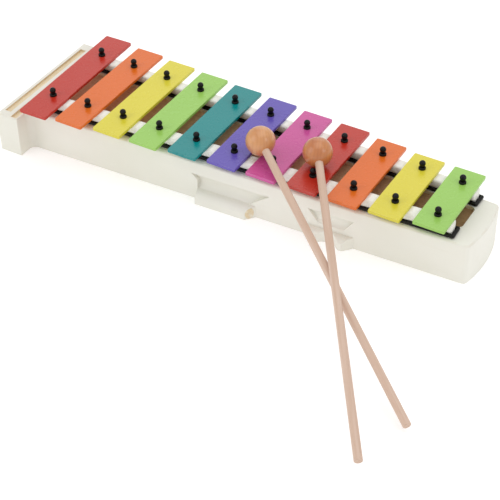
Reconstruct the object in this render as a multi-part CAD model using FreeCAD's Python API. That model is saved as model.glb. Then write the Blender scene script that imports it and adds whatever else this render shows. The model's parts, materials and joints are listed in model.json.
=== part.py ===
import FreeCAD, Part
import math
import os

# Eleven-bar soprano glockenspiel on a tapered wooden resonator box, with two mallets.
# Millimetres. X runs from the long low bars (-X) to the short high ones (+X), Y from the
# player (-Y) to the far side (+Y), Z up. The origin is on the floor, in the middle of the box.

V = FreeCAD.Vector
Z_AXIS = V(0, 0, 1)

# ---- resonator box ----
body_height = 28.5
left_face_x = -159.5          # outer face of the low end
shoulder_x = -143.3           # where the wide low end steps in to the side walls
right_face_x = 159.5          # corners of the high end
right_face_crown = 3.0        # how far the high end face bulges
shoulder_half_width = 49.05
wall_half_width = 36.45       # at the shoulder
wall_taper = 0.0455           # half-width lost for each mm of length
shoulder_fillet = 5.0
shoulder_edge_round = 1.0
edge_round = 1.5
rear_roll = 3.0               # the far top edge of the low end is rolled over
corner_round = 3.0

left_join_x = -129.5          # end block meets the side walls
right_join_x = 142.5
cavity_left_x = -138.5
cavity_right_x = 149.0
cavity_corner = 3.0

# ---- boards ----
inner_board_drop = 2.5        # from the top of the walls down to the board under the bars
inner_board_clearance = 0.1
board_thickness = 3.0         # let in flush with the underside of the walls
board_margin = 6.0            # rebate width all round the cavity
board_clearance = 0.15
screw_x = (-118.0, -38.0, 42.0, 122.0)
screw_inset = 3.0
screw_head_radius = 2.1
screw_shank_radius = 1.0
screw_head_height = 1.1
screw_length = 11.0
screw_point = 2.0
screw_slot_width = 0.5
screw_slot_depth = 0.5

# ---- grooves across the low end ----
slot_width = 4.5
slot_depth = 1.5
outer_slot_x = -154.55        # centre lines
inner_slot_x = -146.85
slot_far_y = 40.45
outer_slot_near_y = -43.55
inner_slot_near_y = -47.85

# ---- rails that carry the bars ----
rail_half_gap = 27.8          # half the distance between the rails, at the shoulder
rail_taper = 0.0375
rail_shift_y = 1.2            # both rails sit this far behind the middle line of the box
rail_width = 8.2
rail_height = 8.0
rail_foot_width = 5.8         # the cord squeezes the foot of the felt
rail_foot_height = 2.6
rail_start_x = -137.5
rail_end_x = 147.0
cord_radius = 1.2
cord_gap = 0.05
hollow_inset = 6.1            # from the middle of a rail to the edge of the hollow
hollow_shift_y = 1.8          # the hollow sits this far behind the middle line of the box

# ---- bars ----
bar_width = 20.0
bar_thickness = 2.0
bar_pitch = 26.64
first_bar_x = -130.2
bar_names = (
    "bar_01_red",
    "bar_02_orange",
    "bar_03_yellow",
    "bar_04_light_green",
    "bar_05_teal",
    "bar_06_violet",
    "bar_07_pink",
    "bar_08_red",
    "bar_09_orange",
    "bar_10_yellow",
    "bar_11_light_green",
)
bar_lengths = (100.4, 94.9, 89.1, 86.6, 81.6, 77.6, 74.3, 72.0, 68.2, 64.1, 60.0)
bar_rear_shift = (0.7, 0.8, 1.4, 0.9, 1.4, 1.9, 1.4, 1.7, 0.4, 0.0, 1.6)
first_bar_skew = 1.2          # degrees; the lowest bar lies slightly askew
bar_edge_round = 0.35
bar_corner_round = 0.8
bar_hole_radius = 2.1

# ---- pins and grommets ----
pin_radius = 1.25
pin_shift_x = 0.5             # the pins stand a little to the right of the middle of the bars
pin_bottom_z = 12.0
pin_point = 2.5
pin_head_radius = 2.0
pin_head_above_bar = 3.9      # centre of the ball head
grommet_bore_radius = 1.55
grommet_flange_radius = 2.25
grommet_flange_height = 1.5

# ---- front lips and finger scoops ----
lip_reach = 5.6
lip_round = 5.0
lip_top_z = 8.4
long_lip_x = -17.4
long_lip_length = 40.0
short_lip_x = 57.5
short_lip_length = 31.0
lip_slant = 5.2
notch_radius = 9.3
notch_floor = 1.6             # how much of the short lip is left in the middle of its notch
long_scoop_radius = 6.5
long_scoop_offset = 3.2
long_scoop_z = 13.4
short_scoop_radius = 5.0
short_scoop_offset = 2.6
short_scoop_z = 16.0

# ---- mallets ----
mallet_head_radius = 9.2
mallet_stick_radius = 2.4
mallet_length = 220.0
mallet_socket_depth = 12.0
stick_end_round = 0.5
head_gap_above_bar = 1.0
mallet_1_head_xy = (18.9, -15.8)
mallet_1_heading = -38.4
mallet_1_dip = 11.9
mallet_2_head_xy = (54.3, -8.9)
mallet_2_heading = -55.8
mallet_2_dip = 11.2

bar_bottom_z = body_height + rail_height
bar_top_z = bar_bottom_z + bar_thickness
overshoot = 5.0               # how far a cutting tool runs past the face it cuts


def wall_half(x):
    """Half the width of the box over its side walls."""
    return wall_half_width - wall_taper * (x - shoulder_x)


def rail_half(x):
    """Half the distance between the middles of the rails."""
    return rail_half_gap - rail_taper * (x - shoulder_x)


def rail_y(x, side):
    """Middle of a rail; side is -1 in front and +1 behind."""
    return side * rail_half(x) + rail_shift_y


def cavity_y(x, side, margin=0.0):
    """Edge of the hollow between the side walls, moved outwards by a margin."""
    return side * (rail_half(x) - hollow_inset + margin) + hollow_shift_y


def prism(outline, z_low, z_high):
    """Upright solid on a closed outline of (x, y) points."""
    points = [V(x, y, z_low) for x, y in outline]
    wire = Part.makePolygon(points + points[:1])
    return Part.Face(wire).extrude(V(0, 0, z_high - z_low))


def prism_from_edges(edges, height):
    wire = Part.Wire(Part.__sortEdges__(edges))
    return Part.Face(wire).extrude(V(0, 0, height))


def box(x_low, x_high, y_low, y_high, z_low, z_high):
    return Part.makeBox(x_high - x_low, y_high - y_low, z_high - z_low, V(x_low, y_low, z_low))


def cylinder(radius, z_low, z_high, x, y):
    return Part.makeCylinder(radius, z_high - z_low, V(x, y, z_low))


def turned(profile, x, y):
    """Solid of revolution about the upright line through (x, y), from (radius, z) points."""
    points = [V(radius, 0, z) for radius, z in profile]
    solid = Part.Face(Part.makePolygon(points + points[:1])).revolve(V(0, 0, 0), Z_AXIS, 360)
    solid.translate(V(x, y, 0))
    return solid


def round_edges(shape, radius, chosen):
    """Fillet the edges that chosen(edge) picks."""
    edges = [edge for edge in shape.Edges if chosen(edge)]
    return shape.makeFillet(radius, edges)


def lies_at_top(edge):
    return all(abs(vertex.Z - body_height) < 1e-6 for vertex in edge.Vertexes)


def is_upright(edge):
    first, last = edge.Vertexes[0], edge.Vertexes[-1]
    return abs(first.Z - last.Z) > 1.0 and math.hypot(first.X - last.X, first.Y - last.Y) < 1e-6


def tapered_outline(left, right, margin):
    """Outline that follows the edges of the hollow from left to right, moved out by a margin."""
    return [
        (left, cavity_y(left, -1, margin)),
        (right, cavity_y(right, -1, margin)),
        (right, cavity_y(right, 1, margin)),
        (left, cavity_y(left, 1, margin)),
    ]


def cavity_prism(clearance, z_low, z_high):
    """Fills the hollow between the walls, less a clearance, with its rounded corners."""
    left = cavity_left_x + clearance
    right = cavity_right_x - clearance
    outline = tapered_outline(left, right, -clearance)
    return round_edges(prism(outline, z_low, z_high), cavity_corner - clearance, is_upright)


def board_outline(clearance):
    left = cavity_left_x - board_margin + clearance
    right = cavity_right_x + board_margin - clearance
    return tapered_outline(left, right, board_margin - clearance)


def screw_places():
    margin = board_margin - screw_inset
    return [(x, cavity_y(x, side, margin)) for x in screw_x for side in (-1, 1)]


def screw_solid(x, y):
    """Countersunk wood screw, driven upwards through the board."""
    profile = [
        (0, 0),
        (screw_head_radius, 0),
        (screw_shank_radius, screw_head_height),
        (screw_shank_radius, screw_length - screw_point),
        (0, screw_length),
    ]
    return turned(profile, x, y)


def pin_place(index, side):
    x = bar_x(index) + pin_shift_x
    return x, rail_y(x, side)


def pin_places(side):
    return [pin_place(index, side) for index in range(len(bar_names))]


def bar_x(index):
    return first_bar_x + index * bar_pitch


def pin_solid(x, y):
    """Ball-headed pin: a pointed shank under a ball."""
    head_z = bar_top_z + pin_head_above_bar
    shank = turned(
        [
            (0, pin_bottom_z),
            (pin_radius, pin_bottom_z + pin_point),
            (pin_radius, head_z),
            (0, head_z),
        ],
        x,
        y,
    )
    return shank.fuse(Part.makeSphere(pin_head_radius, V(x, y, head_z))).removeSplitter()


def pin_hole(x, y):
    """The part of a pin that is buried in wood, as a cutting tool."""
    return turned(
        [
            (0, pin_bottom_z),
            (pin_radius, pin_bottom_z + pin_point),
            (pin_radius, bar_bottom_z + overshoot),
            (0, bar_bottom_z + overshoot),
        ],
        x,
        y,
    )


def cut_all(shape, tools):
    return shape.cut(tools) if tools else shape


def drill_box_piece(shape):
    """Cut the cavity, the board's rebate, the pin holes and the screw holes from a box piece."""
    tools = [
        cavity_prism(0, -overshoot, body_height + overshoot),
        prism(board_outline(0), -overshoot, board_thickness),
    ]
    tools += [pin_hole(x, y) for x, y in pin_places(-1) + pin_places(1)]
    tools += [screw_solid(x, y) for x, y in screw_places()]
    near = [tool for tool in tools if tool.BoundBox.intersect(shape.BoundBox)]
    return cut_all(shape, near)


def left_end_outline_edges():
    """Plan of the low end: a wide block whose shoulders sweep into the side walls."""
    edges = []
    wall_y = wall_half(left_join_x)
    foot_x = shoulder_x + shoulder_fillet
    foot_y = wall_half(foot_x)
    slope = math.atan(wall_taper)
    for side in (-1, 1):
        start = V(shoulder_x, side * (foot_y + shoulder_fillet), 0)
        end = V(foot_x, side * foot_y, 0)
        bend = V(
            shoulder_x + shoulder_fillet * (1 - math.cos(math.pi / 4 - slope / 2)),
            side * (foot_y + shoulder_fillet * (1 - math.sin(math.pi / 4 + slope / 2))),
            0,
        )
        outer = V(left_face_x, side * shoulder_half_width, 0)
        step = V(shoulder_x, side * shoulder_half_width, 0)
        edges.append(Part.makeLine(outer, step))
        edges.append(Part.makeLine(step, start))
        edges.append(Part.Arc(start, bend, end).toShape())
        edges.append(Part.makeLine(end, V(left_join_x, side * wall_y, 0)))
    edges.append(Part.makeLine(V(left_join_x, -wall_y, 0), V(left_join_x, wall_y, 0)))
    edges.append(
        Part.makeLine(V(left_face_x, -shoulder_half_width, 0), V(left_face_x, shoulder_half_width, 0))
    )
    return edges


def rear_roll_tool():
    """Cutter that rolls the far top edge of the low end over a large radius."""
    y = shoulder_half_width - rear_roll
    z = body_height - rear_roll
    x_low = left_face_x - overshoot
    x_high = left_join_x
    rod = Part.makeCylinder(rear_roll, x_high - x_low, V(x_low, y, z), V(1, 0, 0))
    return box(x_low, x_high, y, y + 2 * rear_roll, z, z + 2 * rear_roll).cut(rod)


def left_end_block():
    block = prism_from_edges(left_end_outline_edges(), body_height)
    block = round_edges(
        block,
        shoulder_edge_round,
        lambda e: lies_at_top(e) and e.BoundBox.YMin < 0 and e.BoundBox.XMin < left_join_x - 1e-3,
    )
    block = block.cut(rear_roll_tool())
    half_slot = slot_width / 2
    slot_floor = body_height - slot_depth
    outer_slot = box(
        outer_slot_x - half_slot,
        outer_slot_x + half_slot,
        outer_slot_near_y,
        slot_far_y,
        slot_floor,
        body_height + overshoot,
    )
    inner_slot = box(
        inner_slot_x - half_slot,
        inner_slot_x + half_slot,
        inner_slot_near_y,
        slot_far_y,
        slot_floor,
        body_height + overshoot,
    )
    return drill_box_piece(cut_all(block, [outer_slot, inner_slot]))


def right_end_block():
    """The high end: tapered sides, rounded corners and a gently bulging end face."""
    join_y = wall_half(right_join_x)
    face_y = wall_half(right_face_x)
    crown = V(right_face_x + right_face_crown, 0, 0)
    lower, upper = V(right_face_x, -face_y, 0), V(right_face_x, face_y, 0)
    edges = [
        Part.makeLine(V(right_join_x, -join_y, 0), lower),
        Part.Arc(lower, crown, upper).toShape(),
        Part.makeLine(upper, V(right_join_x, join_y, 0)),
        Part.makeLine(V(right_join_x, join_y, 0), V(right_join_x, -join_y, 0)),
    ]
    block = prism_from_edges(edges, body_height)
    block = round_edges(block, corner_round, lambda e: is_upright(e) and e.CenterOfMass.x > right_join_x + 1)
    block = round_edges(
        block, edge_round, lambda e: lies_at_top(e) and e.BoundBox.XMax > right_join_x + 1e-3
    )
    return drill_box_piece(block)


def side_wall(side):
    """One long wall between the end blocks; side is -1 in front and +1 behind."""
    outline = [
        (left_join_x, 0),
        (left_join_x, side * wall_half(left_join_x)),
        (right_join_x, side * wall_half(right_join_x)),
        (right_join_x, 0),
    ]
    wall = prism(outline, 0, body_height)
    middle_y = wall_half((left_join_x + right_join_x) / 2)
    wall = round_edges(
        wall,
        edge_round,
        lambda e: lies_at_top(e) and abs(e.CenterOfMass.y - side * middle_y) < 0.1,
    )
    return wall


def on_front_wall(shape, x):
    """Move a shape drawn with the wall's face on its XZ plane to the front wall at x."""
    angle = math.degrees(math.atan(wall_taper))
    shape.Placement = FreeCAD.Placement(V(x, -wall_half(x), 0), FreeCAD.Rotation(Z_AXIS, angle))
    return shape


def lip(length, slant_left):
    """Low lip along the foot of the front wall, with a rolled top; its face plane is y = 0."""
    roll_z = lip_top_z - lip_round
    roll_y = -lip_reach + lip_round
    bend = lip_round * (1 - math.cos(math.pi / 4))
    back = 1.0
    edges = [
        Part.makeLine(V(0, back, 0), V(0, -lip_reach, 0)),
        Part.makeLine(V(0, -lip_reach, 0), V(0, -lip_reach, roll_z)),
        Part.Arc(
            V(0, -lip_reach, roll_z),
            V(0, -lip_reach + bend, lip_top_z - bend),
            V(0, roll_y, lip_top_z),
        ).toShape(),
        Part.makeLine(V(0, roll_y, lip_top_z), V(0, back, lip_top_z)),
        Part.makeLine(V(0, back, lip_top_z), V(0, back, 0)),
    ]
    solid = Part.Face(Part.Wire(edges)).extrude(V(length, 0, 0))
    reach = lip_reach + 1.0
    slope = lip_slant / lip_reach
    cuts = [[(length, 0), (length - slope * reach, -reach), (length + 1, -reach), (length + 1, 0)]]
    if slant_left:
        cuts.append([(0, 0), (slope * reach, -reach), (-1, -reach), (-1, 0)])
    return cut_all(solid, [prism(outline, -1, lip_top_z + 1) for outline in cuts])


def scoop_tool(radius, offset, z, outline):
    """Cove for the fingers: a lying cylinder kept inside an outline of (x, z) points."""
    x_low = min(x for x, _ in outline)
    x_high = max(x for x, _ in outline)
    rod = Part.makeCylinder(radius, x_high - x_low, V(x_low, -offset, z), V(1, 0, 0))
    points = [V(px, -radius - offset, pz) for px, pz in outline]
    limit = Part.Face(Part.makePolygon(points + points[:1])).extrude(V(0, 2 * (radius + offset), 0))
    return rod.common(limit)


def front_wall():
    """The front wall carries two lips at floor level, each under a finger scoop."""
    wall = side_wall(-1)
    long_scoop = scoop_tool(
        long_scoop_radius,
        long_scoop_offset,
        long_scoop_z,
        [(-5.5, 19.6), (-0.8, 15.3), (-0.8, 6.0), (32.0, 6.0), (50.3, 19.6)],
    )
    short_scoop = scoop_tool(
        short_scoop_radius,
        short_scoop_offset,
        short_scoop_z,
        [(0.5, 20.5), (8.0, 11.0), (24.0, 11.0), (31.0, 20.5)],
    )
    wall = wall.cut([on_front_wall(long_scoop, long_lip_x), on_front_wall(short_scoop, short_lip_x)])
    long_lip = on_front_wall(lip(long_lip_length, False), long_lip_x)
    notch = Part.makeCylinder(
        notch_radius, lip_top_z + 2, V(short_lip_length / 2, -notch_floor - notch_radius, -1)
    )
    short_lip = on_front_wall(lip(short_lip_length, True).cut(notch), short_lip_x)
    return drill_box_piece(wall.fuse([long_lip, short_lip]).removeSplitter())


def rear_wall():
    return drill_box_piece(side_wall(1))


def inner_board():
    top = body_height - inner_board_drop
    return cavity_prism(inner_board_clearance, top - board_thickness, top)


def bottom_board():
    board = prism(board_outline(board_clearance), 0, board_thickness)
    return board.cut([screw_solid(x, y) for x, y in screw_places()])


def board_screw(x, y):
    """Screw with a cross cut into its head."""
    screw = screw_solid(x, y)
    half_slot = screw_slot_width / 2
    reach = screw_head_radius * 0.7
    along_x = box(x - reach, x + reach, y - half_slot, y + half_slot, -1, screw_slot_depth)
    along_y = box(x - half_slot, x + half_slot, y - reach, y + reach, -1, screw_slot_depth)
    return screw.cut([along_x, along_y])


def on_rail(shape, side):
    """Move a shape drawn lengthways on the X axis, centred, to one rail's centre line."""
    middle_x = (rail_start_x + rail_end_x) / 2
    angle = -side * math.degrees(math.atan(rail_taper))
    place = V(middle_x, rail_y(middle_x, side), 0)
    shape.Placement = FreeCAD.Placement(place, FreeCAD.Rotation(Z_AXIS, angle))
    return shape


def felt_rail(side):
    half_length = (rail_end_x - rail_start_x) / 2
    half_width = rail_width / 2
    half_foot = rail_foot_width / 2
    foot_top = body_height + rail_foot_height
    strip = box(-half_length, half_length, -half_width, half_width, foot_top, bar_bottom_z)
    foot = box(-half_length, half_length, -half_foot, half_foot, body_height, foot_top)
    strip = on_rail(strip.fuse(foot).removeSplitter(), side)
    return strip.cut([pin_hole(x, y) for x, y in pin_places(side)])


def cord_loop(side):
    """Rubber cord stretched once round the foot of a rail."""
    reach_x = (rail_end_x - rail_start_x) / 2 + cord_radius + cord_gap
    reach_y = rail_foot_width / 2 + cord_radius + cord_gap
    z = body_height + cord_radius + cord_gap
    run_x = 2 * reach_x
    run_y = 2 * reach_y
    pieces = []
    for sign in (-1, 1):
        pieces.append(
            Part.makeCylinder(cord_radius, run_x, V(-run_x / 2, sign * reach_y, z), V(1, 0, 0))
        )
        pieces.append(
            Part.makeCylinder(cord_radius, run_y, V(sign * reach_x, -run_y / 2, z), V(0, 1, 0))
        )
    for sign_x in (-1, 1):
        for sign_y in (-1, 1):
            pieces.append(Part.makeSphere(cord_radius, V(sign_x * reach_x, sign_y * reach_y, z)))
    return on_rail(pieces[0].fuse(pieces[1:]).removeSplitter(), side)


def bar(index):
    """Flat steel bar with softened edges and two grommet holes."""
    half_length = bar_lengths[index] / 2
    half_width = bar_width / 2
    plate = box(-half_width, half_width, -half_length, half_length, bar_bottom_z, bar_top_z)
    plate = round_edges(plate, bar_corner_round, is_upright)
    plate = round_edges(
        plate, bar_edge_round, lambda e: all(abs(v.Z - bar_top_z) < 1e-6 for v in e.Vertexes)
    )
    if index == 0:
        plate.rotate(V(0, 0, 0), Z_AXIS, first_bar_skew)
    plate.translate(V(bar_x(index), bar_rear_shift[index], 0))
    holes = []
    for side in (-1, 1):
        hole_x, hole_y = pin_place(index, side)
        holes.append(cylinder(bar_hole_radius, bar_bottom_z - 1, bar_top_z + 1, hole_x, hole_y))
    return plate.cut(holes)


def grommet(x, y):
    """Rubber grommet: a sleeve through the bar under a rounded flange."""
    top = bar_top_z + grommet_flange_height
    profile = [
        (grommet_bore_radius, bar_bottom_z),
        (bar_hole_radius, bar_bottom_z),
        (bar_hole_radius, bar_top_z),
        (grommet_flange_radius, bar_top_z),
        (grommet_flange_radius, top - 0.6),
        (grommet_flange_radius - 0.35, top),
        (grommet_bore_radius, top),
    ]
    return turned(profile, x, y)


def bar_grommets(index):
    return Part.makeCompound([grommet(*pin_place(index, side)) for side in (-1, 1)])


def mallet_placement(head_xy, heading, dip):
    """Puts the head's centre in place and points the stick along heading, dipping down."""
    centre = V(head_xy[0], head_xy[1], bar_top_z + head_gap_above_bar + mallet_head_radius)
    turn = FreeCAD.Rotation(Z_AXIS, heading) * FreeCAD.Rotation(V(0, 1, 0), dip)
    return FreeCAD.Placement(centre, turn)


def mallet_head(placement):
    """Wooden ball with a blind socket for its stick."""
    ball = Part.makeSphere(mallet_head_radius)
    socket = Part.makeCylinder(
        mallet_stick_radius,
        mallet_head_radius + mallet_socket_depth,
        V(mallet_head_radius - mallet_socket_depth, 0, 0),
        V(1, 0, 0),
    )
    head = ball.cut(socket)
    head.Placement = placement
    return head


def mallet_stick(placement):
    start_x = mallet_head_radius - mallet_socket_depth
    end_x = mallet_length - mallet_head_radius
    stick = Part.makeCylinder(mallet_stick_radius, end_x - start_x, V(start_x, 0, 0), V(1, 0, 0))
    stick = round_edges(
        stick, stick_end_round, lambda e: abs(e.CenterOfMass.x - end_x) < 1e-3 and e.isClosed()
    )
    stick.Placement = placement
    return stick


def build():
    nodes = {
        "left_end_block": left_end_block(),
        "right_end_block": right_end_block(),
        "front_wall": front_wall(),
        "rear_wall": rear_wall(),
        "inner_board": inner_board(),
        "bottom_board": bottom_board(),
        "board_screws": Part.makeCompound([board_screw(x, y) for x, y in screw_places()]),
        "front_felt_rail": felt_rail(-1),
        "rear_felt_rail": felt_rail(1),
        "front_rubber_cord": cord_loop(-1),
        "rear_rubber_cord": cord_loop(1),
        "front_pins": Part.makeCompound([pin_solid(x, y) for x, y in pin_places(-1)]),
        "rear_pins": Part.makeCompound([pin_solid(x, y) for x, y in pin_places(1)]),
    }
    for index, name in enumerate(bar_names):
        nodes[name] = bar(index)
        nodes[name + "_grommets"] = bar_grommets(index)
    mallets = (
        ("mallet_1", mallet_placement(mallet_1_head_xy, mallet_1_heading, mallet_1_dip)),
        ("mallet_2", mallet_placement(mallet_2_head_xy, mallet_2_heading, mallet_2_dip)),
    )
    for name, placement in mallets:
        nodes[name + "_head"] = mallet_head(placement)
        nodes[name + "_stick"] = mallet_stick(placement)
    return nodes


def main():
    os.makedirs("parts", exist_ok=True)
    for name, shape in build().items():
        shape.exportStep("parts/" + name + ".step")


main()
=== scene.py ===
import json
import math

import bmesh
import bpy
import numpy as np
from mathutils import Matrix, Vector, noise


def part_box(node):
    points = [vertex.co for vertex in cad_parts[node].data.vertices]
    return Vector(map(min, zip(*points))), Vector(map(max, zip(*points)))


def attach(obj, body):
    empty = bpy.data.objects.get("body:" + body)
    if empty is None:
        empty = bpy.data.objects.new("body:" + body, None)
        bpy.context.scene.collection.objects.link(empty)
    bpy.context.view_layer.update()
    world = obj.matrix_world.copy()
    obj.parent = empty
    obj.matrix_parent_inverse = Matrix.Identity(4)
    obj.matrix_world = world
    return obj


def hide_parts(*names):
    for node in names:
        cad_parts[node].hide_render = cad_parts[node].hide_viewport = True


# Looks for the glockenspiel: materials for the CAD nodes, felt for its two rails, a pale floor,
# soft light and the camera. Metres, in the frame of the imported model.

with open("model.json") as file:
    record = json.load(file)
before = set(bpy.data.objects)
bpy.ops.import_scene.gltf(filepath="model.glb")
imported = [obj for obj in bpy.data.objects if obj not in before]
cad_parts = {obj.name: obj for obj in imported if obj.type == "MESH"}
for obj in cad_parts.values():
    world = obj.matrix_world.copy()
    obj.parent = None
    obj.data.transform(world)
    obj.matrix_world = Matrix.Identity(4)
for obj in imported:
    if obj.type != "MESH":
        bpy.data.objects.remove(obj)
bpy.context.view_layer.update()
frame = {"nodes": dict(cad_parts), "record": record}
record = frame["record"]
MM = 0.001
FELT_FOOT_SHARE = 5.8 / 8.2    # the cord squeezes the foot of a rail to this share of its width
FELT_FOOT_HEIGHT = 2.6 * MM
FELT_STEP = 0.75 * MM         # between one ring of points and the next along a rail
FELT_FLAT_MARGIN = 0.9 * MM   # how far beyond the edges of a bar the felt stays flat
FELT_END_ROUND = 1.2 * MM
FELT_CROWN = 0.5 * MM         # how far the felt rises between two bars
FELT_SWELL = 0.22 * MM        # how far its sides bulge under a bar
RAIL_TAPER = 0.0375           # how fast the two rails, and the hollow between them, draw together

BARS = [node["node"] for node in record["subparts"] if node["material_slot"].endswith("_paint")]


# ---- materials ----

def linear(red, green, blue):
    """Linear colour with alpha from display values of 0 to 255."""
    def one(value):
        value /= 255
        return value / 12.92 if value <= 0.04045 else ((value + 0.055) / 1.055) ** 2.4
    return (one(red), one(green), one(blue), 1.0)


class Finish:
    """A procedural material, with short names for the nodes it needs."""

    def __init__(self, name, **constants):
        self.material = bpy.data.materials.new(name)
        self.material.use_nodes = True
        self.tree = self.material.node_tree
        self.shader = self.tree.nodes["Principled BSDF"]
        for socket, value in constants.items():
            self.shader.inputs[socket.replace("_", " ")].default_value = value
        coordinates = self.tree.nodes.new("ShaderNodeTexCoord")
        self.place = coordinates.outputs["Object"]
        self.facing = coordinates.outputs["Normal"]

    def add(self, kind, inputs=None, **settings):
        node = self.tree.nodes.new("ShaderNode" + kind)
        for key, value in settings.items():
            setattr(node, key, value)
        for key, value in (inputs or {}).items():
            self.give(node.inputs[key], value)
        return node

    def give(self, socket, value):
        if isinstance(value, bpy.types.NodeSocket):
            self.tree.links.new(value, socket)
        else:
            socket.default_value = value

    def math(self, operation, *values, clamp=False):
        node = self.add("Math", operation=operation, use_clamp=clamp)
        for socket, value in zip(node.inputs, values):
            self.give(socket, value)
        return node.outputs[0]

    def parts(self, vector):
        return self.add("SeparateXYZ", {"Vector": vector}).outputs

    def noise(self, scale, detail=2.0, roughness=0.5, at=None, distortion=0.0):
        inputs = {
            "Vector": at or self.place,
            "Scale": scale,
            "Detail": detail,
            "Roughness": roughness,
            "Distortion": distortion,
        }
        return self.add("TexNoise", inputs).outputs["Fac"]

    def stretched(self, factors, at=None):
        node = self.add("Mapping", {"Vector": at or self.place, "Scale": factors})
        return node.outputs["Vector"]

    def ramp(self, value, low, high, start=0.0, end=1.0):
        """Straight ramp: start at low, end at high, held outside."""
        inputs = {"Value": value, "From Min": low, "From Max": high, "To Min": start, "To Max": end}
        return self.add("MapRange", inputs, clamp=True).outputs[0]

    def within(self, value, low, high, soft):
        """1 between low and high, falling to 0 over soft on both sides."""
        rising = self.ramp(value, low - soft, low)
        falling = self.ramp(value, high, high + soft, 1.0, 0.0)
        return self.math("MULTIPLY", rising, falling)

    def product(self, *values):
        result = values[0]
        for value in values[1:]:
            result = self.math("MULTIPLY", result, value)
        return result

    def blend(self, share, first, second, kind="MIX"):
        node = self.add("Mix", data_type="RGBA", blend_type=kind)
        self.give(node.inputs["Factor"], share)
        self.give(node.inputs[6], first)
        self.give(node.inputs[7], second)
        return node.outputs[2]

    def bump(self, height, distance, strength=1.0, onto=None):
        inputs = {"Height": height, "Distance": distance, "Strength": strength}
        if onto is not None:
            inputs["Normal"] = onto
        return self.add("Bump", inputs).outputs["Normal"]

    def finish(self, colour, roughness, normal=None):
        self.give(self.shader.inputs["Base Color"], colour)
        self.give(self.shader.inputs["Roughness"], roughness)
        if normal is not None:
            self.give(self.shader.inputs["Normal"], normal)
        return self.material


def dress(node, material):
    mesh = frame["nodes"][node].data
    if not mesh.materials:
        mesh.materials.append(material)
    for index in range(len(mesh.materials)):
        mesh.materials[index] = material


# Display colours of the paint on the bars, by the name of the record's slot.
PAINTS = {
    "red_paint": linear(188, 46, 30),
    "orange_paint": linear(222, 106, 26),
    "yellow_paint": linear(218, 206, 58),
    "light_green_paint": linear(152, 200, 92),
    "teal_paint": linear(0, 134, 134),
    "violet_paint": linear(96, 80, 174),
    "pink_paint": linear(200, 82, 150),
}


# The slanted end face of the long lip at the foot of the front wall: its middle and its direction.
LIP_END_CENTRE = (0.0199, -0.0319, 0.0042)
LIP_END_HEADING = (0.66, 0.75, 0.0)


def shaded(colour, factor):
    return tuple(min(1.0, factor * channel) for channel in colour[:3]) + (1.0,)


def enamel(name, colour):
    """Gloss enamel on steel, a little thin on the edges, with dust and faint marks where it is struck."""
    paint = Finish(name, Specular_IOR_Level=0.5)
    y = paint.parts(paint.place)["Y"]
    nz = paint.parts(paint.facing)["Z"]
    cloud = paint.ramp(paint.noise(35, 2), 0.3, 0.7)
    skin = paint.blend(cloud, shaded(colour, 0.98), shaded(colour, 1.01))
    rim = paint.within(nz, 0.35, 0.93, 0.04)
    thin = paint.product(rim, paint.ramp(paint.noise(240, 3, 0.6), 0.4, 0.65), 0.5)
    skin = paint.blend(thin, skin, paint.blend(0.35, shaded(colour, 1.1), linear(226, 222, 214)))
    struck = paint.within(y, -0.010, 0.010, 0.012)
    marks = paint.product(struck, paint.ramp(paint.noise(520, 3, 0.6), 0.62, 0.72))
    skin = paint.blend(paint.math("MULTIPLY", marks, 0.10), skin, shaded(colour, 0.8))
    dust = paint.ramp(paint.noise(1700, 1), 0.78, 0.84)
    skin = paint.blend(paint.math("MULTIPLY", dust, 0.06), skin, linear(232, 228, 220))
    roughness = paint.ramp(paint.noise(160, 2), 0.3, 0.7, 0.24, 0.30)
    roughness = paint.math("ADD", roughness, paint.math("MULTIPLY", marks, 0.12))
    peel = paint.bump(paint.noise(420, 1), 0.00002, 0.06)
    return paint.finish(skin, roughness, peel)


def oval_patch(wood, centre, heading, half_width, half_height):
    """1 inside an upright oval on a face that runs along heading, a horizontal direction."""
    x, y, z = wood.parts(wood.place)
    offset_x = wood.math("MULTIPLY", wood.math("SUBTRACT", x, centre.x), heading.x / half_width)
    offset_y = wood.math("MULTIPLY", wood.math("SUBTRACT", y, centre.y), heading.y / half_width)
    sideways = wood.math("ADD", offset_x, offset_y)
    upwards = wood.math("MULTIPLY", wood.math("SUBTRACT", z, centre.z), 1 / half_height)
    reach = wood.math("ADD", wood.math("MULTIPLY", sideways, sideways),
                      wood.math("MULTIPLY", upwards, upwards))
    return wood.ramp(reach, 0.8, 1.1, 1.0, 0.0)


def lip_end_patch(wood, patchy):
    """Where the lacquer is rubbed through, on the slanted end of the long lip."""
    facing = wood.parts(wood.facing)
    rightwards = wood.ramp(facing["X"], 0.5, 0.6)
    frontwards = wood.ramp(facing["Y"], -0.6, -0.5, 1.0, 0.0)
    slanted = wood.math("MULTIPLY", rightwards, frontwards)
    oval = oval_patch(wood, Vector(LIP_END_CENTRE), Vector(LIP_END_HEADING), 3.0 * MM, 4.2 * MM)
    return wood.product(slanted, oval, patchy)


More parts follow.
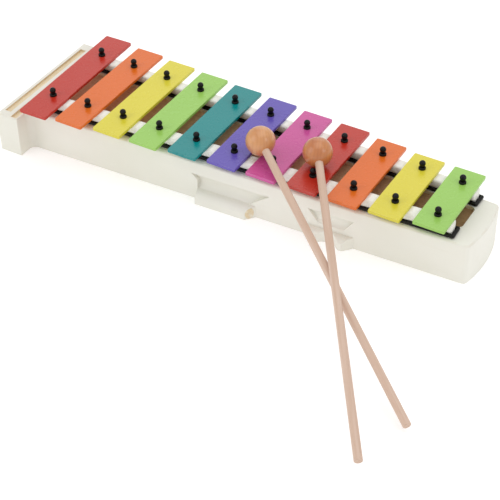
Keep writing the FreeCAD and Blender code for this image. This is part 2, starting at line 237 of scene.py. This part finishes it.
def cream_wood():
    """Cream-white lacquer over pale wood, bare in the grooves and the hollow and on worn edges."""
    wood = Finish("cream_lacquered_wood", Specular_IOR_Level=0.4)
    x, y, z = wood.parts(wood.place)
    nz = wood.parts(wood.facing)["Z"]
    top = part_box("left_end_block")[1].z

    # cream lacquer
    cloud = wood.ramp(wood.noise(18, 4), 0.3, 0.7)
    grain = wood.noise(160, 4, 0.6, at=wood.stretched((0.06, 1.0, 1.0)))
    lacquer = wood.blend(cloud, linear(229, 227, 215), linear(236, 234, 224))
    lacquer = wood.blend(
        wood.math("MULTIPLY", wood.ramp(grain, 0.55, 0.75), 0.10), lacquer, linear(206, 194, 170)
    )
    dust = wood.ramp(wood.noise(1400, 2, 0.7), 0.70, 0.78)
    lacquer = wood.blend(wood.math("MULTIPLY", dust, 0.15), lacquer, linear(196, 182, 158))

    # bare wood
    streaks = wood.noise(420, 5, 0.65, at=wood.stretched((1.0, 0.05, 1.0)))
    bare = wood.blend(wood.ramp(streaks, 0.35, 0.68), linear(236, 221, 190), linear(220, 200, 162))
    pores = wood.ramp(wood.noise(1500, 3, 0.6, at=wood.stretched((1.0, 0.07, 1.0))), 0.62, 0.72)
    bare = wood.blend(wood.math("MULTIPLY", pores, 0.4), bare, linear(188, 158, 120))

    below_top = wood.ramp(z, top - 0.35 * MM, top - 0.15 * MM, 1.0, 0.0)
    grooves = 0.0
    for opening in record["physics"]["openings"]:
        low, high = (Vector(corner) for corner in opening["box_m"])
        if "groove" in opening["name"]:
            strip = wood.within(x, low.x - 0.3 * MM, high.x + 0.3 * MM, 0.05 * MM)
            run = wood.within(y, low.y - 0.6 * MM, high.y + 0.6 * MM, 0.05 * MM)
            deep = wood.ramp(z, low.z - 0.4 * MM, low.z - 0.3 * MM)
            grooves = wood.math("MAXIMUM", wood.product(strip, run, deep, below_top), grooves)

    board_low, board_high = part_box("inner_board")
    narrowing = wood.math("MULTIPLY", wood.math("SUBTRACT", x, board_low.x), RAIL_TAPER)
    middle_y, half_board = (board_low.y + board_high.y) / 2, (board_high.y - board_low.y) / 2
    off_middle = wood.math("ABSOLUTE", wood.math("SUBTRACT", y, middle_y))
    across = wood.math("ADD", off_middle, narrowing)
    between_walls = wood.ramp(across, half_board + 0.3 * MM, half_board + 0.4 * MM, 1.0, 0.0)
    between_ends = wood.within(x, board_low.x - 0.3 * MM, board_high.x + 0.3 * MM, 0.05 * MM)
    hollow = wood.product(between_walls, between_ends, below_top)

    # worn line along the top edges
    slant = wood.within(nz, 0.35, 0.92, 0.06)
    near_top = wood.ramp(z, top - 2.2 * MM, top - 1.2 * MM)
    patchy = wood.ramp(wood.noise(130, 4, 0.7), 0.42, 0.6)
    worn = wood.product(slant, near_top, patchy, 0.15)
    rubbed = lip_end_patch(wood, wood.ramp(wood.noise(300, 3, 0.6), 0.2, 0.5))

    skin = wood.blend(worn, lacquer, linear(214, 192, 160))
    open_wood = wood.math("MAXIMUM", wood.math("MAXIMUM", grooves, hollow), rubbed)
    skin = wood.blend(open_wood, skin, bare)
    roughness = wood.math("ADD", wood.ramp(wood.noise(300, 2), 0.3, 0.7, 0.38, 0.48),
                          wood.math("MULTIPLY", open_wood, 0.35))
    relief = wood.bump(grain, 0.0002, 0.18)
    relief = wood.bump(wood.math("MULTIPLY", streaks, open_wood), 0.0004, 0.6, relief)
    return wood.finish(skin, roughness, relief)


def brown_board():
    """Bare fibre board: felted brown fibres with flecks. Under the bars its colour is painted much lighter,
    as painted light against the shade of the bars; at the end the bars leave open it shows its own brown.
    """
    board = Finish("raw_board", Specular_IOR_Level=0.3)
    fibres = board.noise(700, 5, 0.75, at=board.stretched((0.3, 1.0, 1.0)))
    flecks = board.ramp(board.noise(1600, 3, 0.6, at=board.stretched((0.2, 1.0, 1.0))), 0.6, 0.7)
    shares = board.ramp(fibres, 0.3, 0.7)
    # painted light: a pale tan under the bars stands in for the light the bars shade off; the open end keeps
    # the board's own brown
    painted_light_under_bars = board.blend(shares, linear(228, 176, 132), linear(246, 204, 164))
    exposed = board.blend(shares, linear(146, 112, 78), linear(182, 146, 106))
    end_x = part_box("inner_board")[1].x
    x = board.parts(board.place)["X"]
    # painted light: runs from the pale tan under the bars to the board's own brown at the open end
    skin = board.blend(board.ramp(x, end_x - 110 * MM, end_x - 12 * MM), painted_light_under_bars, exposed)
    skin = board.blend(board.math("MULTIPLY", flecks, 0.4), skin, linear(110, 80, 54))
    roughness = board.ramp(board.noise(500, 2), 0.3, 0.7, 0.72, 0.86)
    return board.finish(skin, roughness, board.bump(fibres, 0.0004, 0.5))


def zinc():
    """Zinc-plated steel with a faint yellow cast and spun scratches."""
    metal = Finish("zinc_steel", Metallic=1.0)
    cloud = metal.ramp(metal.noise(900, 3), 0.3, 0.7)
    skin = metal.blend(cloud, linear(170, 170, 168), linear(196, 192, 178))
    scratches = metal.noise(5000, 2, 0.6, at=metal.stretched((1.0, 0.1, 1.0)))
    roughness = metal.ramp(scratches, 0.3, 0.7, 0.28, 0.44)
    return metal.finish(skin, roughness, metal.bump(scratches, 0.00003, 0.4))


def felt():
    """Pressed white wool felt."""
    wool = Finish(
        "white_felt", Specular_IOR_Level=0.2, Sheen_Weight=0.25, Sheen_Roughness=0.6
    )
    fuzz = wool.noise(2600, 4, 0.75)
    clumps = wool.noise(420, 4, 0.65, distortion=0.6)
    skin = wool.blend(wool.ramp(clumps, 0.3, 0.7), linear(230, 228, 218), linear(243, 242, 236))
    skin = wool.blend(wool.math("MULTIPLY", wool.ramp(fuzz, 0.6, 0.8), 0.3), skin, linear(196, 190, 174))
    roughness = wool.ramp(fuzz, 0.3, 0.7, 0.82, 0.95)
    relief = wool.bump(clumps, 0.0003, 0.4)
    return wool.finish(skin, roughness, wool.bump(fuzz, 0.0002, 0.5, relief))


def rubber(name, shade, shine):
    """Black rubber with a dusty bloom."""
    gum = Finish(name, Specular_IOR_Level=0.3)
    bloom = gum.ramp(gum.noise(300, 4, 0.6), 0.45, 0.75)
    skin = gum.blend(bloom, linear(shade, shade - 1, shade - 2), linear(shade + 14, shade + 12, shade + 10))
    roughness = gum.ramp(gum.noise(700, 3), 0.3, 0.7, shine, shine + 0.14)
    return gum.finish(skin, roughness, gum.bump(gum.noise(1800, 2), 0.00006, 0.4))


def black_enamel():
    """Black enamel on the pins, slightly uneven in tone."""
    paint = Finish("black_pin", Specular_IOR_Level=0.25)
    cloud = paint.ramp(paint.noise(500, 3), 0.35, 0.75)
    skin = paint.blend(cloud, linear(4, 3, 5), linear(14, 12, 14))
    roughness = paint.ramp(paint.noise(900, 2), 0.3, 0.7, 0.25, 0.38)
    return paint.finish(skin, roughness, paint.bump(paint.noise(1300, 2), 0.00005, 0.4))


def axis_of(node):
    """Middle of a long node and the direction of its longest extent."""
    points = np.array([v.co for v in frame["nodes"][node].data.vertices])
    low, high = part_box(node)
    middle = points.mean(0)
    direction = np.linalg.svd(points - middle, full_matrices=False)[2][0]
    return Vector((low + high) / 2), Vector(direction).normalized()


def along(finish, centre, direction):
    """Coordinates in metres with X along direction, measured from centre."""
    side = direction.cross(Vector((0, 0, 1))).normalized()
    other = direction.cross(side)
    offset = finish.add("VectorMath", operation="SUBTRACT")
    finish.give(offset.inputs[0], finish.place)
    finish.give(offset.inputs[1], centre)
    combined = finish.add("CombineXYZ")
    for index, axis in enumerate((direction, side, other)):
        dot = finish.add("VectorMath", operation="DOT_PRODUCT")
        finish.give(dot.inputs[0], offset.outputs[0])
        finish.give(dot.inputs[1], axis)
        finish.give(combined.inputs[index], dot.outputs["Value"])
    return combined.outputs[0]


def stick_wood(name, node):
    """Plain beech dowel: long faint grain and short brown flecks."""
    centre, direction = axis_of(node)
    beech = Finish(name, Specular_IOR_Level=0.4)
    at = along(beech, centre, direction)
    grain = beech.noise(1500, 4, 0.6, at=beech.stretched((0.03, 1.0, 1.0), at))
    broad = beech.noise(260, 3, 0.5, at=beech.stretched((0.05, 1.0, 1.0), at))
    flecks = beech.ramp(beech.noise(2300, 2, 0.5, at=beech.stretched((0.16, 1.0, 1.0), at)), 0.66, 0.72)
    skin = beech.blend(beech.ramp(broad, 0.35, 0.65), linear(219, 193, 176), linear(206, 176, 155))
    dark_grain = beech.math("MULTIPLY", beech.ramp(grain, 0.5, 0.75), 0.35)
    skin = beech.blend(dark_grain, skin, linear(190, 158, 133))
    skin = beech.blend(beech.math("MULTIPLY", flecks, 0.4), skin, linear(176, 140, 108))
    roughness = beech.ramp(grain, 0.3, 0.7, 0.48, 0.62)
    return beech.finish(skin, roughness, beech.bump(grain, 0.00015, 0.4))


def head_wood(name, head, stick, shade):
    """Turned hardwood ball under orange-brown varnish, its growth rings lying along the stick."""
    low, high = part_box(head)
    centre = (low + high) / 2
    direction = axis_of(stick)[1]
    wood = Finish(name, Specular_IOR_Level=0.5, Coat_Weight=0.6, Coat_Roughness=0.1)
    at = along(wood, centre, direction)
    u, v, w = wood.parts(at)
    wobble = wood.math("MULTIPLY", wood.math("SUBTRACT", wood.noise(90, 3, at=at), 0.5), 3.4 * MM)
    span = wood.math("ADD", wood.math("ADD", v, 21 * MM), wobble)
    depth = wood.math("ADD", wood.math("MULTIPLY", u, 0.22), w)
    radius = wood.math("SQRT", wood.math("ADD", wood.math("MULTIPLY", span, span),
                                          wood.math("MULTIPLY", depth, depth)))
    rings = wood.math("FRACT", wood.math("MULTIPLY", radius, 1 / (1.9 * MM)))
    late = wood.product(wood.ramp(rings, 0.35, 0.9), wood.ramp(rings, 0.93, 1.0, 1.0, 0.0))
    pores = wood.noise(2600, 3, 0.6, at=wood.stretched((0.1, 1.0, 1.0), at))
    light, mid, dark = shade
    skin = wood.blend(wood.ramp(wood.noise(120, 3, at=at), 0.3, 0.7), light, mid)
    skin = wood.blend(wood.math("MULTIPLY", late, 0.14), skin, dark)
    skin = wood.blend(wood.math("MULTIPLY", wood.ramp(pores, 0.6, 0.72), 0.25), skin, dark)
    roughness = wood.ramp(pores, 0.3, 0.7, 0.30, 0.42)
    return wood.finish(skin, roughness, wood.bump(pores, 0.00008, 0.35))


finishes = {
    "cream_lacquered_wood": cream_wood(),
    "raw_board": brown_board(),
    "zinc_steel": zinc(),
    "white_felt": felt(),
    "black_rubber": rubber("black_rubber", 8, 0.42),
    "black_grommet": rubber("black_grommet", 7, 0.5),
    "black_pin": black_enamel(),
}
for paint_name, paint_colour in PAINTS.items():
    finishes[paint_name] = enamel(paint_name, paint_colour)

for entry in record["subparts"]:
    if entry["material_slot"] in finishes:
        dress(entry["node"], finishes[entry["material_slot"]])

HEAD_SHADES = {
    "mallet_1": (linear(218, 158, 104), linear(202, 138, 86), linear(154, 94, 54)),
    "mallet_2": (linear(204, 134, 80), linear(186, 112, 64), linear(136, 76, 40)),
}
for mallet, head_shade in HEAD_SHADES.items():
    dress(mallet + "_stick", stick_wood(mallet + "_beech", mallet + "_stick"))
    dress(mallet + "_head", head_wood(mallet + "_varnish", mallet + "_head", mallet + "_stick", head_shade))


# ---- felt rails ----

def section_outline(half_width, height):
    """Rounded strip in section, as (across, up) points, anticlockwise from its lower left corner."""
    top_round, bottom_round = 1.3 * MM, 0.4 * MM
    corners = [
        (-half_width + bottom_round, bottom_round, bottom_round, 180, 270, 3),
        (half_width - bottom_round, bottom_round, bottom_round, 270, 360, 3),
        (half_width - top_round, height - top_round, top_round, 0, 90, 6),
        (-half_width + top_round, height - top_round, top_round, 90, 180, 6),
    ]
    points = []
    for across, up, radius, start, end, steps in corners:
        for step in range(steps + 1):
            angle = math.radians(start + (end - start) * step / steps)
            points.append((across + radius * math.cos(angle), up + radius * math.sin(angle)))
    dense = []
    for first, second in zip(points, points[1:] + points[:1]):
        count = max(1, round(math.dist(first, second) / (0.5 * MM)))
        for step in range(count):
            share = step / count
            dense.append(tuple((1 - share) * a + share * b for a, b in zip(first, second)))
    return dense


def smooth(value):
    value = min(1.0, max(0.0, value))
    return value * value * (3 - 2 * value)


def fuzz(point):
    """Wool that stands up from the felt, in metres."""
    return 0.11 * MM * noise.noise(point * 520) + 0.07 * MM * noise.noise(point * 1300)


def felt_strip(node, sign):
    """Felt rail: flat where a bar lies, crowned between the bars, narrow at its foot for the cord."""
    low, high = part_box(node)
    along = Vector((1, -sign * RAIL_TAPER, 0)).normalized()
    across = Vector((-along.y, along.x, 0))
    corners = np.array([v.co for v in frame["nodes"][node].data.vertices])
    lengths, widths = corners @ np.array(along), corners @ np.array(across)
    start, end = lengths.min(), lengths.max()
    middle = (widths.min() + widths.max()) / 2
    half_width = (widths.max() - widths.min()) / 2
    height = high.z - low.z
    bar_spans = [(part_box(bar)[0].x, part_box(bar)[1].x) for bar in BARS]
    outline = section_outline(half_width, height)

    work = bmesh.new()
    rings = []
    count = round((end - start) / FELT_STEP)
    for step in range(count + 1):
        run = start + (end - start) * step / count
        to_end = max(0.0, min(run - start, end - run))
        inset = 0.0
        if to_end < FELT_END_ROUND:
            inset = FELT_END_ROUND - math.sqrt(FELT_END_ROUND ** 2 - (FELT_END_ROUND - to_end) ** 2)
        ring = []
        for side, up in outline:
            side -= math.copysign(min(inset, abs(side)), side)
            up = min(up, height - inset)
            widening = smooth((up - FELT_FOOT_HEIGHT + 0.1 * MM) / (0.7 * MM))
            side *= FELT_FOOT_SHARE + (1 - FELT_FOOT_SHARE) * widening
            place = along * run + across * (middle + side)
            clear = min(max(first - place.x, place.x - last) for first, last in bar_spans)
            free = smooth(clear / (2.2 * MM))
            share_up, share_side = up / height, side / half_width
            crown = FELT_CROWN * free * share_up ** 3 * (1 - 0.7 * share_side ** 2)
            above_foot = max(0.0, (up - FELT_FOOT_HEIGHT) / (height - FELT_FOOT_HEIGHT))
            swell = FELT_SWELL * (1 - free) * math.sin(math.pi * above_foot)
            place += across * math.copysign(1, side) * swell * abs(share_side) ** 4
            place.z = low.z + up + crown
            outward = across * share_side ** 3 + Vector((0, 0, share_up ** 4))
            place += outward * fuzz(place)
            if clear < FELT_FLAT_MARGIN:
                place.z = min(place.z, high.z - 0.02 * MM)
            place.z = max(place.z, low.z)
            ring.append(work.verts.new(place))
        rings.append(ring)
    size = len(outline)
    for first, second in zip(rings, rings[1:]):
        for index in range(size):
            following = (index + 1) % size
            work.faces.new((first[index], first[following], second[following], second[index]))
    work.faces.new(list(reversed(rings[0])))
    work.faces.new(rings[-1])
    bmesh.ops.recalc_face_normals(work, faces=work.faces)
    mesh = bpy.data.meshes.new(node + "_wool")
    work.to_mesh(mesh)
    work.free()
    for face in mesh.polygons:
        face.use_smooth = True
    mesh.materials.append(finishes["white_felt"])
    strip = bpy.data.objects.new(node + "_wool", mesh)
    bpy.context.scene.collection.objects.link(strip)
    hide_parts(node)
    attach(strip, "resonator_box")


felt_strip("front_felt_rail", -1)
felt_strip("rear_felt_rail", 1)


# ---- floor, light and camera ----

def floor():
    half = 3.0
    mesh = bpy.data.meshes.new("floor")
    corners = [(-half, -half, 0), (half, -half, 0), (half, half, 0), (-half, half, 0)]
    mesh.from_pydata(corners, [], [(0, 1, 2, 3)])
    plane = bpy.data.objects.new("floor", mesh)
    bpy.context.scene.collection.objects.link(plane)
    paper = Finish("studio_floor", Specular_IOR_Level=0.1)
    paper.shader.inputs["Emission Color"].default_value = (1, 1, 1, 1)
    paper.shader.inputs["Emission Strength"].default_value = 0.26
    tone = paper.blend(paper.ramp(paper.noise(6, 2), 0.3, 0.7), (0.90, 0.90, 0.90, 1), (0.92, 0.92, 0.92, 1))
    mesh.materials.append(paper.finish(tone, 0.9))


def area_light(name, place, target, size, power, colour=(1, 1, 1)):
    lamp = bpy.data.lights.new(name, "AREA")
    lamp.shape = "RECTANGLE"
    lamp.size, lamp.size_y = size
    lamp.energy = power
    lamp.color = colour
    light = bpy.data.objects.new(name, lamp)
    aim = Vector(target) - Vector(place)
    light.matrix_world = Matrix.Translation(place) @ aim.to_track_quat("-Z", "Y").to_matrix().to_4x4()
    bpy.context.scene.collection.objects.link(light)


def studio():
    world = bpy.data.worlds.new("studio")
    bpy.context.scene.world = world
    world.use_nodes = True
    background = world.node_tree.nodes["Background"]
    background.inputs["Color"].default_value = (1.0, 1.0, 1.0, 1)
    background.inputs["Strength"].default_value = 0.66
    area_light("overhead", (0.1, 0.1, 1.6), (0, 0, 0), (1.6, 1.6), 7.4)
    area_light("front_left", (-1.0, -1.3, 1.0), (0, 0, 0.02), (1.2, 1.2), 5.8)
    area_light("right", (1.2, -0.1, 0.8), (0.1, 0, 0.02), (0.5, 0.5), 1.6)
    area_light("back", (-0.6, 1.5, 1.1), (0, 0, 0.02), (1.6, 1.2), 4.2)


def camera():
    lens = bpy.data.cameras.new("photo_view")
    lens.sensor_width = 36
    lens.lens = 102.03
    lens.shift_x = 0.0264
    lens.shift_y = -0.0272
    lens.clip_start = 0.01
    view = bpy.data.objects.new("photo_view", lens)
    right = Vector((0.8586467, 0.5122707, -0.0174543))
    up = Vector((-0.3163398, 0.5564144, 0.7683307))
    back = Vector((0.4033051, -0.6542031, 0.6398150))
    turn = Matrix((right, up, back)).transposed().to_4x4()
    view.matrix_world = Matrix.Translation((0.3696, -0.6144, 0.5516)) @ turn
    bpy.context.scene.collection.objects.link(view)
    bpy.context.scene.camera = view


floor()
studio()
camera()
bpy.context.scene.view_settings.view_transform = "Standard"
